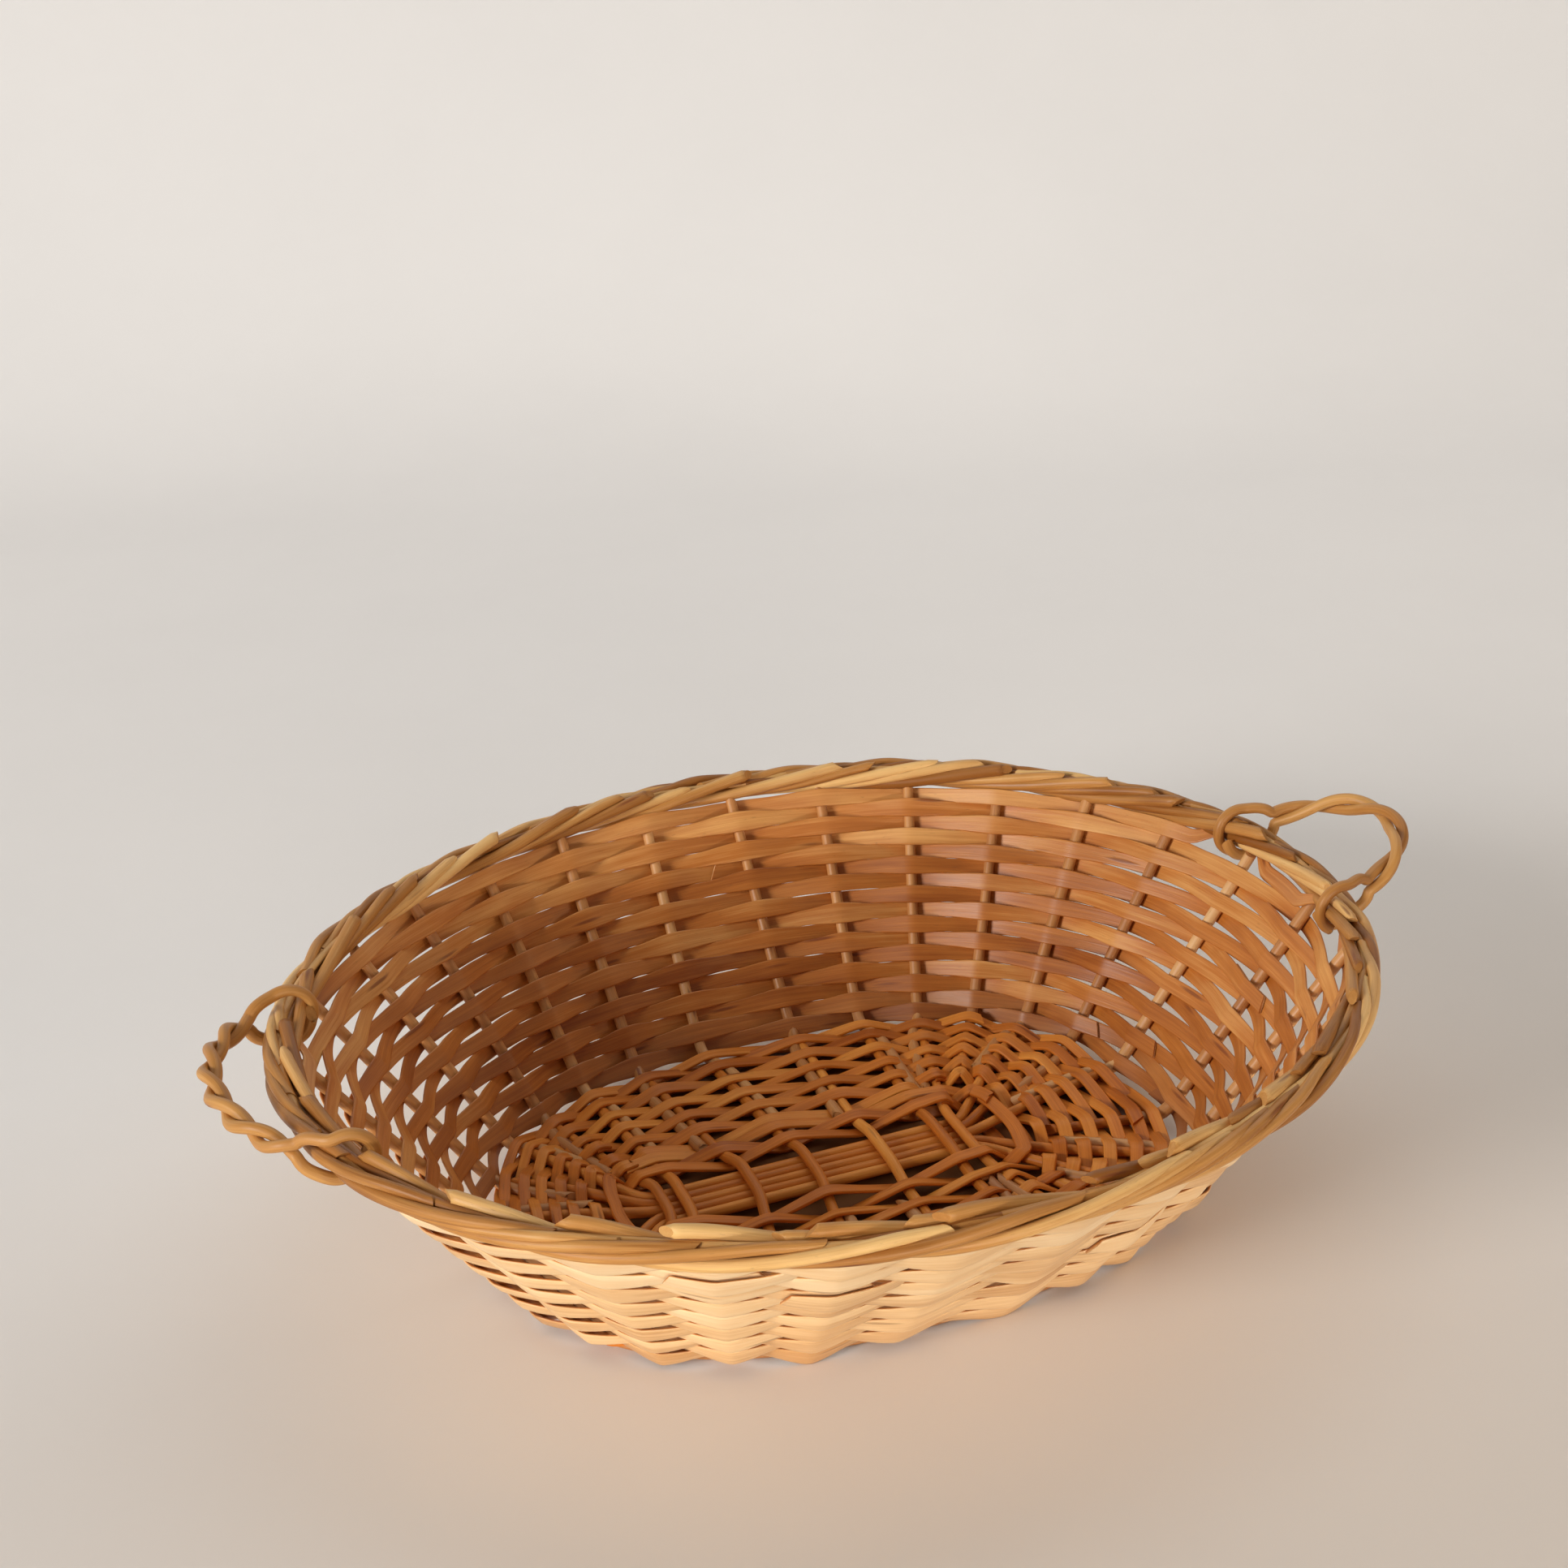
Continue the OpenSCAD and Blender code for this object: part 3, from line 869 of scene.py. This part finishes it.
def make_base_row(row):
    """One woven row: over and under the ribs, level over each rib and sloping between them."""
    ribs = [foot for foot in range(STAKES) if row > CLOSED_ROWS or foot not in CORNER_FEET]
    tops = [k for k, foot in enumerate(ribs) if row_side(row, foot) > 0]
    points, wides, room = base_row_path(row, ribs, int(rng.choice(tops)))
    points[1:-1] = 0.25 * points[:-2] + 0.5 * points[1:-1] + 0.25 * points[2:]
    lengths = path_lengths(points)
    points += wides * wander(lengths, *WEAVER_SIDE_WANDER)[:, None]
    overlap = path_lengths(points[-(WEAVER_SAMPLES + WEAVER_OVERLAP) :])[-1]
    over = smooth((lengths - lengths[-1] + overlap) / WEAVER_OVERLAP_REACH)
    points[:, 2] += over * WEAVER_T * WEAVER_OVERLAP_RISE
    lean = math.radians(rng.uniform(2, 14)) + wander(lengths, *WEAVER_LEAN_WANDER)
    width = np.minimum(WEAVER_W * rng.uniform(0.9, 1.08), room * WEAVER_CROWDING)
    width = width * (1 + wander(lengths, *WEAVER_W_WANDER))
    strands = Strands()
    axes = weaver_axes(points, wides, lean)
    add_ribbon(strands, points, axes, (width, WEAVER_T), WEAVER_SECTION, (0.6, -0.6))
    nodes = [f"base_row_{row:02d}"] if row <= BASE_ROWS else []
    strands.make(f"base_weaver_{row:02d}", WEAVER_WILLOW, "basket", nodes)


def make_edge_row():
    """The flat split that the basket stands on, bent round under the feet of the stakes."""
    strands = Strands()
    start = rng.uniform(0, 2 * math.pi)
    angles = start + np.linspace(0, 2 * math.pi, EDGE_SAMPLES + 1)[:-1]
    x, y = oval(angles, FOOT_A - EDGE_INSET, FOOT_B - EDGE_INSET, BASE_SQUARENESS)
    points = np.stack([x, y, np.full_like(x, EDGE_Z)], axis=-1)
    along = unit(np.gradient(points, axis=0))
    thick = np.tile([0.0, 0, 1], (len(points), 1))
    axes = (np.cross(thick, along), thick)
    add_ribbon(strands, points, axes, (EDGE_W, EDGE_T), WEAVER_SECTION, (0.8, 0.8))
    strands.make("base_edge_split", STAKE_WILLOW, "basket", ["base_edge_band"])


# ---- Side ----


def stake_path(foot):
    """From beside its base stick, round the bend at the edge and up the wall."""
    sideways = np.cross(rib_direction(foot), np.array([0, 0, 1.0]))
    beside = 0 if foot in CORNER_FEET else STAKE_BESIDE * (-1 if foot % 2 else 1)
    start_share = rng.uniform(0.2, 0.3) if is_cross_rib(foot) else rng.uniform(0.34, 0.44)
    if foot in CORNER_FEET:
        start_share = STAKE_AT_CORNER_SHARE
    leg = [
        rib_point(foot, start_share) + sideways * beside,
        rib_point(foot, STAKE_LEAVES_RIB) + sideways * beside,
        rib_point(foot, STAKE_BEND_SHARE),
    ]
    heights = (RIB_Z + STAKE_BEND_RISE, RING_Z - STAKE_BELOW_RING)
    wall = [wall_point(np.array(float(foot)), z)[0] for z in heights]
    return rounded(leg + wall, STAKE_BEND_STEP, STAKE_BEND)


def make_stakes():
    for q, quarter in enumerate(QUARTERS):
        strands = Strands()
        for foot in range(q * PER_QUARTER, (q + 1) * PER_QUARTER):
            path = stake_path(foot)
            r = STAKE_D / 2 * rng.uniform(0.95, 1.06)
            add_rod(strands, path, r, r * 0.95, cuts=(1.5, 0.5))
        strands.make(f"stakes_{quarter}", STAKE_WILLOW, "basket", [f"side_stakes_{quarter}"])


def side_profile(place, row):
    """How far in or out a row is: 1 outside at every second stake, -1 inside at the others."""
    wave = np.cos((place + row) * math.pi)
    pointed = 1 - 2 * np.abs((place + row) / 2 % 1 * 2 - 1)
    return (1 - RIBBON_POINTEDNESS) * wave - RIBBON_POINTEDNESS * pointed


def towards_ends(place):
    return np.cos(stake_angle(place)) ** 2


def towards_front(place):
    return np.maximum(0, -np.sin(stake_angle(place))) ** 2


def slid_up(place, row):
    """How far a ribbon slides up where it passes outside the stakes at the basket's ends."""
    slide = np.where(np.cos(stake_angle(place)) < 0, LEFT_SLIDE, RIGHT_SLIDE)
    if row >= SIDE_ROWS:
        slide = slide * TOP_SLIDE_SHARE
    return slide * towards_ends(place) * (1 + side_profile(place, row)) / 2


def eye_centre(side, y):
    return np.array([side * RING_A * math.sqrt(1 - (y / RING_B) ** 2), y, RING_Z])


def beside_eyes(place):
    """1 where a handle's end goes round the border, 0 away from there."""
    nearness = np.zeros(len(place))
    for sizes in HANDLES.values():
        for y in sizes["eyes"]:
            away = np.linalg.norm(head_point(place) - eye_centre(sizes["side"], y), axis=1)
            nearness = np.maximum(nearness, 1 - smooth((away - SQUEEZE_HALF) / SQUEEZE_FADE))
    return nearness


def ribbon_offset(place, row, knot):
    """How far out of the wall a ribbon runs. Its last part lies against the inner side of its first."""
    hidden_side = math.copysign(1, side_profile(np.array([float(knot)]), row)[0])
    doubled = smooth((place - (knot + STAKES - SPLICE_STEP_BEFORE)) / SPLICE_STEP_OVER)
    return side_profile(place, row) * RIBBON_WAVE + doubled * RIBBON_T * SPLICE_OFFSET * hidden_side


def ribbon_axes(points, out, tilt):
    """A ribbon's directions across and through, its upper edge tilted in."""
    tangent = unit(np.gradient(points, axis=0))
    thick = unit(out - tangent * np.sum(out * tangent, axis=1, keepdims=True))
    wide = np.cross(tangent, thick)
    wide *= np.sign(wide[:, 2:3])
    return turned_about(wide, thick, -tilt)


def ribbon_width(place, row, height, pitch, squeezed):
    """Full width where a ribbon crosses a stake, and as wide as its row has room between stakes."""
    lengths = place * STAKE_SPACING
    crest = smooth(np.abs(side_profile(place, row)))
    crest_width = 1 - END_NARROWING * towards_ends(place) + FRONT_WIDENING * towards_front(place)
    crest_width = RIBBON_CREST_W * crest_width * rng.uniform(0.95, 1.06)
    crest_width = crest_width * (1 + wander(lengths, *RIBBON_CREST_WANDER))
    spacing = np.linalg.norm(wall_point(place, height + pitch) - wall_point(place, height), axis=1)
    gap_width = spacing * RIBBON_GAP_SHARE * (1 + wander(lengths, *RIBBON_GAP_WANDER))
    return mix(mix(gap_width, crest_width, crest), SQUEEZED_W, squeezed)


def make_side_row(row, z, pitch, nodes):
    """One ribbon row, a single split whose two ends overlap beside a stake."""
    knot = int(rng.integers(0, STAKES))
    place = np.arange(knot - SPLICE_BEFORE, knot + STAKES + SPLICE_AFTER, 1 / SIDE_SAMPLES)
    lengths = place * STAKE_SPACING
    squeezed = beside_eyes(place) if row > SIDE_ROWS else np.zeros(len(place))
    height = z + wander(lengths, *RIBBON_HEIGHT_WANDER) + slid_up(place, row) + squeezed * SQUEEZE_RISE
    out = out_of_wall(place, height)
    points = wall_point(place, height) + out * ribbon_offset(place, row, knot)[:, None]
    tilt = RIBBON_TILT * (1 - towards_ends(place)) + wander(lengths, *RIBBON_TILT_WANDER)
    axes = ribbon_axes(points, out, tilt)
    width = ribbon_width(place, row, height, pitch, squeezed)
    thickness = RIBBON_T * (1 + wander(lengths, *RIBBON_T_WANDER))
    strands = Strands()
    paler = PALER_UPWARDS * (row / SIDE_ROWS - PALER_FROM)
    add_ribbon(strands, points, axes, (width, thickness), RIBBON_SECTION, (0.5, -0.5), paler)
    strands.make(f"side_ribbon_{row:02d}", RIBBON_WILLOW, "basket", nodes)


def make_side():
    heights = []
    for row in range(1, SIDE_ROWS + 1):
        low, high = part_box(f"side_row_{row:02d}")
        heights.append((low[2] + high[2]) / 2)
    pitch = (heights[-1] - heights[0]) / (SIDE_ROWS - 1)
    for row in range(1, SIDE_ROWS + 1):
        make_side_row(row, heights[row - 1], pitch, [f"side_row_{row:02d}"])
    make_side_row(SIDE_ROWS + 1, heights[-1] + pitch * EXTRA_ROW_ABOVE, pitch, [])
    make_side_row(0, heights[0] - pitch * EXTRA_ROW_BELOW, pitch, [])


# ---- Border ----


def round_border(place, radius, around):
    """Points about the border's middle line, at an angle from straight out towards straight up."""
    along = unit(head_point(place + 0.05) - head_point(place - 0.05))
    up = np.tile([0.0, 0, 1], (len(place), 1))
    out = unit(np.cross(up, along))
    outward = out * np.cos(around)[:, None] + up * np.sin(around)[:, None]
    return head_point(place) + np.reshape(radius, (-1, 1)) * outward


def border_rod_path(first, ring):
    """A rod that winds round the border while it passes its gaps, from deep inside to the top."""
    share = np.linspace(rng.uniform(0.02, 0.05), rng.uniform(0.80, 0.87), BORDER_SAMPLES)
    place = first + BORDER_SPAN * share
    lengths = place * BORDER_SPACING
    wound = BORDER_WINDING * (share / BORDER_LAST_SHARE) ** BORDER_QUICKENING
    around = np.radians(BORDER_START_ANGLE - wound) + wander(lengths, *BORDER_ANGLE_WANDER)
    radius = ring * (1 + wander(lengths, *BORDER_RING_WANDER)) + rng.uniform(-0.6, 0.4) * MM
    radius = radius * mix(BORDER_START_DEPTH, 1, smooth((share - share[0]) / BORDER_RISE_OVER))
    radius = radius * mix(1, BORDER_TIP_LIFT, smooth((share - BORDER_TIP_FROM) / BORDER_TIP_OVER))
    return round_border(place, radius, around)


def border_core_path(first, turned):
    """The bent-down tops of the stakes, which fill the middle of the border."""
    last = first + PER_QUARTER + BORDER_CORE_OVERLAP
    place = np.linspace(first - BORDER_CORE_OVERLAP, last, BORDER_CORE_SAMPLES)
    return round_border(place, BORDER_CORE_R, place * BORDER_CORE_TURN + turned)


def make_border():
    for q, quarter in enumerate(QUARTERS):
        strands = Strands()
        for first in range(q * PER_QUARTER, (q + 1) * PER_QUARTER):
            for late, ring, scale, kept in BORDER_FAMILIES:
                if rng.uniform() > kept:
                    continue
                path = border_rod_path(first + late, ring)
                r = scale * rng.uniform(0.86, 1.05) / 2
                r_start, r_tip = BORDER_ROD_D * r, BORDER_TIP_D * r
                add_rod(strands, path, r_start, r_tip, cuts=(1.0, 0.9), rough=0.04, blunt=0.7)
        for turned in (0, math.pi):
            path = border_core_path(q * PER_QUARTER, turned)
            add_rod(strands, path, BORDER_CORE_D / 2, BORDER_CORE_D / 2, sides=10)
        strands.make(f"border_{quarter}", BORDER_WILLOW, "basket", [f"border_rods_{quarter}"])


# ---- Handles ----


class Handle:
    """A handle's own frame: its middle, along the hinge line to the back, out, and square to the loop."""

    def __init__(self, side, eyes, reach, tilt, lean, turns):
        self.turns = turns
        self.reach = reach
        self.lean = lean
        self.eyes = [eye_centre(side, y) for y in eyes]
        back, front = self.eyes
        self.middle = (back + front) / 2
        self.along = unit(back - front)
        self.half = np.linalg.norm(back - front) / 2
        self.start_turn = math.degrees(math.asin(EYE_START_R / reach))
        flat_out = np.array([self.along[1], -self.along[0], 0]) * side
        up = np.array([0, 0, 1.0])
        angle = math.radians(tilt)
        self.out = flat_out * math.cos(angle) + up * math.sin(angle)
        self.square = up * math.cos(angle) - flat_out * math.sin(angle)

    def loop(self, turn):
        turn = math.radians(turn)
        sideways = self.half * math.cos(turn) + self.lean * math.sin(turn)
        return self.middle + self.along * sideways + self.out * self.reach * math.sin(turn)

    def ray(self, angle):
        angle = math.radians(angle)
        return self.out * math.cos(angle) + self.square * math.sin(angle)

    def eye(self, which, over):
        """A strand's end, from the twisted part round the border as an open eye."""
        centre = self.eyes[which]
        facing = 1 if which == 0 else -1
        away = 1 if over else -1
        end = OVER_END_ANGLE if over else -UNDER_END_ANGLE
        start = away * EYE_START_ANGLE
        turn = self.start_turn if which == 0 else 180 - self.start_turn
        junction = self.loop(turn) + self.square * TWIST_R * away
        at_start = centre + EYE_START_R * self.ray(start)
        ring_way = np.array([-centre[1] * (RING_A / RING_B) ** 2, centre[0], 0])
        sideways = unit(ring_way) * np.sign(centre[0]) * EYE_SIDE_STEP * away * facing
        points = []
        for k in range(EYE_SAMPLES + 1):
            angle = mix(start, end, k / EYE_SAMPLES)
            blended = smooth(abs(angle - start) / EYE_BLEND_ANGLE)
            point = centre + mix(EYE_START_R, EYE_R, blended) * self.ray(angle) + sideways * blended
            points.append(point + (junction - at_start) * (1 - blended))
        return points

    def strand(self, over):
        """One strand, from its rear eye along the twist to its front eye."""
        away = 1 if over else -1
        middle = []
        for k in range(1, TWIST_STEPS):
            turn = mix(self.start_turn, 180 - self.start_turn, k / TWIST_STEPS)
            here = self.loop(turn)
            ahead = unit(self.loop(turn + 1) - here)
            inward = np.cross(ahead, self.square)
            twist = math.radians(90 + 360 * self.turns * k / TWIST_STEPS)
            ring = inward * math.cos(twist) + self.square * math.sin(twist)
            middle.append(here + away * TWIST_R * ring)
        return np.array(self.eye(0, over)[::-1] + middle + self.eye(1, over))


def make_handles():
    r = STRAND_D / 2
    for name, sizes in HANDLES.items():
        handle = Handle(**sizes)
        for kind in ("over", "under"):
            path = rounded(handle.strand(kind == "over"), STRAND_STEP, STRAND_BEND)
            path[:, 2] += wander(path_lengths(path), *STRAND_WANDER)
            strands = Strands()
            ends = {"cuts": (1.2, 1.2), "rough": 0.05}
            add_rod(strands, path, r * 0.98, r * 0.92, sides=14, up=handle.along, **ends)
            piece = f"{name}_handle_twist_{kind}"
            node_name = f"{name}_handle_strand_{kind}"
            strands.make(piece, HANDLE_WILLOW, f"{name}_handle", [node_name])


# ---- Stage ----

# The camera's angles in degrees and its place. The backdrop stands square to its heading
CAMERA_HEADING = 19.54
CAMERA_DOWN = 23.78
CAMERA_ROLL = -2.68
CAMERA_LENS = 50.57
CAMERA_SENSOR = 36
CAMERA_PLACE = (-0.2452, -0.6524, 0.4689)

WALL_AWAY = 1.55
WALL_BEND = 0.65
WALL_TOP = 3.0
WALL_BEND_STEPS = 24
FLOOR_REACH = 14.0

FLOOR_COLOUR = (0.87, 0.865, 0.865)
WHITE = (1, 1, 1)
# Painted shadow under the basket's foot: its colour, and the shares of the oval where it is full and where
# it is gone
FOOT_PAINTED_SHADOW = (0.24, 0.10, 0.032)
FOOT_PAINTED_SHADOW_TO = 0.7
FOOT_PAINTED_SHADOW_GONE = 0.92
# Painted shade on the floor: darker and warmer towards the front, starting this far back and full over
# this distance
FRONT_PAINTED_SHADE = (0.81, 0.745, 0.68)
FRONT_PAINTED_SHADE_FROM = 0.19
FRONT_PAINTED_SHADE_OVER = 0.515
WORLD_COLOUR = (1.0, 0.965, 0.92)
WORLD_STRENGTH = 0.19


def painted_foot_shadow(tree, x, y):
    """Painted shadow: the floor turned deep brown inside the oval of the basket's foot, standing in for
    the shade under the base.
    """
    parts = []
    for across, half in ((x, FOOT_A), (y, FOOT_B)):
        share = maths(tree, "ABSOLUTE", maths(tree, "DIVIDE", across, half))
        parts.append(maths(tree, "POWER", share, BASE_SQUARENESS))
    return ramp(tree, plus(tree, *parts), [(FOOT_PAINTED_SHADOW_TO, FOOT_PAINTED_SHADOW), (FOOT_PAINTED_SHADOW_GONE, WHITE)])


def paint(name, colour, variation, rough):
    """Matt paint with a faint mottle, a painted shadow under the basket's foot, and painted shade that
    turns it darker and warmer towards the front.
    """
    material = bpy.data.materials.new(name)
    material.use_nodes = True
    tree = material.node_tree
    shader = tree.nodes["Principled BSDF"]
    place = tree.nodes.new("ShaderNodeTexCoord")
    mottle = node(tree, "ShaderNodeTexNoise", Scale=3.0, Detail=4.0, Roughness=0.6)
    tree.links.new(place.outputs["Object"], mottle.inputs["Vector"])
    darker = tuple(c * (1 - variation) for c in colour)
    mottled = ramp(tree, mottle.outputs[0], [(0.3, darker), (0.7, colour)])
    split = tree.nodes.new("ShaderNodeSeparateXYZ")
    tree.links.new(place.outputs["Object"], split.inputs[0])
    x, y = split.outputs[0], split.outputs[1]
    # Painted shadow under the basket's foot, multiplied into the mottled paint
    shaded = blend(tree, 1.0, mottled, painted_foot_shadow(tree, x, y), "MULTIPLY")
    # Painted shade: the floor turns darker and warmer towards the front
    front = maths(tree, "DIVIDE", minus(tree, FRONT_PAINTED_SHADE_FROM, y), FRONT_PAINTED_SHADE_OVER, clamp=True)
    front_painted_shade = ramp(tree, front, [(0, WHITE), (1, FRONT_PAINTED_SHADE)])
    tree.links.new(blend(tree, 1.0, shaded, front_painted_shade, "MULTIPLY"), shader.inputs["Base Color"])
    shader.inputs["Roughness"].default_value = rough
    shader.inputs["Specular IOR Level"].default_value = 0.2
    return material


def backdrop_profile():
    """The floor's and wall's outline from the side: how far away, and how high."""
    profile = [(-FLOOR_REACH, 0.0), (WALL_AWAY - WALL_BEND, 0.0)]
    for k in range(1, WALL_BEND_STEPS):
        angle = math.pi / 2 * k / WALL_BEND_STEPS
        away = WALL_AWAY - WALL_BEND + WALL_BEND * math.sin(angle)
        profile.append((away, WALL_BEND - WALL_BEND * math.cos(angle)))
    return profile + [(WALL_AWAY, WALL_BEND), (WALL_AWAY, WALL_TOP)]


def make_backdrop():
    """A floor that curves up into a wall behind the basket."""
    heading = math.radians(CAMERA_HEADING)
    ahead = np.array([math.sin(heading), math.cos(heading), 0])
    right = np.array([ahead[1], -ahead[0], 0])
    points, faces = [], []
    for away, height in backdrop_profile():
        for side in (-FLOOR_REACH, FLOOR_REACH):
            points.append(tuple(ahead * away + right * side + np.array([0, 0, height])))
    for k in range(0, len(points) - 2, 2):
        faces.append((k, k + 1, k + 3, k + 2))
    mesh = bpy.data.meshes.new("backdrop")
    mesh.from_pydata(points, [], faces)
    mesh.polygons.foreach_set("use_smooth", [True] * len(faces))
    mesh.materials.append(paint("backdrop_paint", FLOOR_COLOUR, 0.03, 0.85))
    backdrop = bpy.data.objects.new("backdrop", mesh)
    bpy.context.scene.collection.objects.link(backdrop)


def make_light(name, place, target, size, energy, colour, spread=180):
    data = bpy.data.lights.new(name, "AREA")
    data.shape = "ELLIPSE"
    data.size = size[0]
    data.size_y = size[1]
    data.energy = energy
    data.color = colour
    data.spread = math.radians(spread)
    light = bpy.data.objects.new(name, data)
    light.location = place
    light.rotation_mode = "QUATERNION"
    light.rotation_quaternion = (Vector(target) - Vector(place)).to_track_quat("-Z", "Y")
    bpy.context.scene.collection.objects.link(light)


def make_lights():
    make_light("key_light", (-4.25, -1.4, 1.6), (0, 0, 0.05), (1.6, 1.6), 168, (1.0, 0.95, 0.89))
    low_place, low_target = (-0.1, -1.5, 0.17), (-0.05, -0.95, -0.02)
    make_light("low_light", low_place, low_target, (1.3, 0.2), 2.8, (1.0, 0.93, 0.85), spread=44)
    make_light("warm_light", (1.7, -0.9, 0.5), (0, 0, 0.05), (0.8, 0.5), 5, (1.0, 0.68, 0.36))
    make_light("back_light", (1.0, 0.75, 1.9), (1.0, 1.3, 0.2), (2.4, 1.4), 9, (1.0, 0.985, 0.95))
    make_light("top_light", (0.1, -0.1, 2.3), (0, 0, 0), (2.2, 2.2), 0.8, (1.0, 0.95, 0.86))


def make_world():
    world = bpy.data.worlds.new("studio")
    bpy.context.scene.world = world
    world.use_nodes = True
    background = world.node_tree.nodes["Background"]
    background.inputs[0].default_value = (*WORLD_COLOUR, 1)
    background.inputs[1].default_value = WORLD_STRENGTH


def make_camera():
    """The camera stands front left of the basket and looks down at it, with a slight roll."""
    heading = math.radians(CAMERA_HEADING)
    down = math.radians(CAMERA_DOWN)
    roll = math.radians(CAMERA_ROLL)
    level_x = math.sin(heading) * math.cos(down)
    level_y = math.cos(heading) * math.cos(down)
    ahead = Vector((level_x, level_y, -math.sin(down)))
    level = ahead.cross(Vector((0, 0, 1))).normalized()
    above = level.cross(ahead)
    right = level * math.cos(roll) + above * math.sin(roll)
    up = above * math.cos(roll) - level * math.sin(roll)
    data = bpy.data.cameras.new("camera")
    data.lens = CAMERA_LENS
    data.sensor_width = CAMERA_SENSOR
    camera = bpy.data.objects.new("camera", data)
    columns = Matrix((right, up, -ahead)).transposed().to_4x4()
    camera.matrix_world = Matrix.Translation(CAMERA_PLACE) @ columns
    bpy.context.scene.collection.objects.link(camera)
    bpy.context.scene.camera = camera


make_long_sticks()
make_cross_sticks()
make_corner_sticks()
for base_row in range(1, BASE_ROWS + 2):
    make_base_row(base_row)
make_edge_row()
make_stakes()
make_side()
make_border()
make_handles()
make_backdrop()
make_lights()
make_world()
make_camera()
bpy.context.scene.view_settings.view_transform = "Standard"
